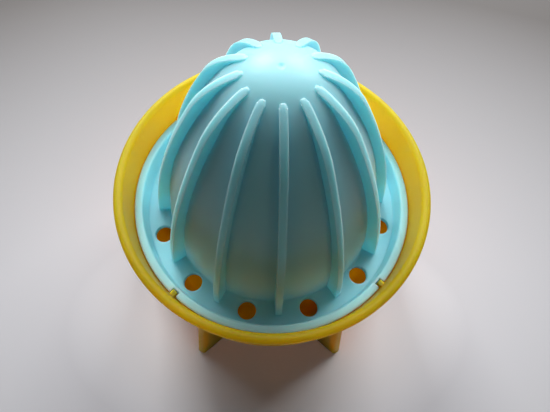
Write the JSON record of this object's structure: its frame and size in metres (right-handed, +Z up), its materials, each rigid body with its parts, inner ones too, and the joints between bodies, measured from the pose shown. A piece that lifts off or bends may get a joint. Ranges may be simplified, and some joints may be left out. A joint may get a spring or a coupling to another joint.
{
  "type": "citrus juicer",
  "caption": "Hand citrus juicer: a ribbed dome on a strainer plate lifts out of a round cup that stands on flared hollow legs.",
  "frame": {"origin": "on the surface that the feet stand on, under the centre of the cup", "axes": "+Z up along the axis of dome and cup, -Y towards the front, which lies midway between two legs; +X, where one leg points, to the right of somebody who faces the front"},
  "size_m": [0.0958, 0.092, 0.1011],
  "materials": {
    "reamer_plastic": "slightly translucent pale turquoise moulded plastic with soft gloss",
    "cup_plastic": "slightly translucent lemon yellow moulded plastic with soft gloss"
  },
  "bodies": {
    "cup": {"cup_bowl": "cup_plastic", "cup_wall": "cup_plastic", "cup_lug_1": "cup_plastic", "cup_lug_2": "cup_plastic", "cup_lug_3": "cup_plastic", "cup_lug_4": "cup_plastic", "cup_leg_1": "cup_plastic", "cup_leg_2": "cup_plastic", "cup_leg_3": "cup_plastic", "cup_leg_4": "cup_plastic", "cup_leg_5": "cup_plastic", "cup_leg_6": "cup_plastic"},
    "reamer": {"reamer_cap": "reamer_plastic", "reamer_dome": "reamer_plastic", "reamer_plate": "reamer_plastic", "reamer_band": "reamer_plastic", "reamer_rib_1": "reamer_plastic", "reamer_rib_2": "reamer_plastic", "reamer_rib_3": "reamer_plastic", "reamer_rib_4": "reamer_plastic", "reamer_rib_5": "reamer_plastic", "reamer_rib_6": "reamer_plastic", "reamer_rib_7": "reamer_plastic", "reamer_rib_8": "reamer_plastic", "reamer_rib_9": "reamer_plastic", "reamer_rib_10": "reamer_plastic", "reamer_rib_11": "reamer_plastic", "reamer_rib_12": "reamer_plastic"}
  },
  "joints": [
    {"name": "reamer_lift", "type": "slide", "parent": "cup", "child": "reamer", "axis": [0, 0, 1], "range_m": [0, 0.03]}
  ]
}
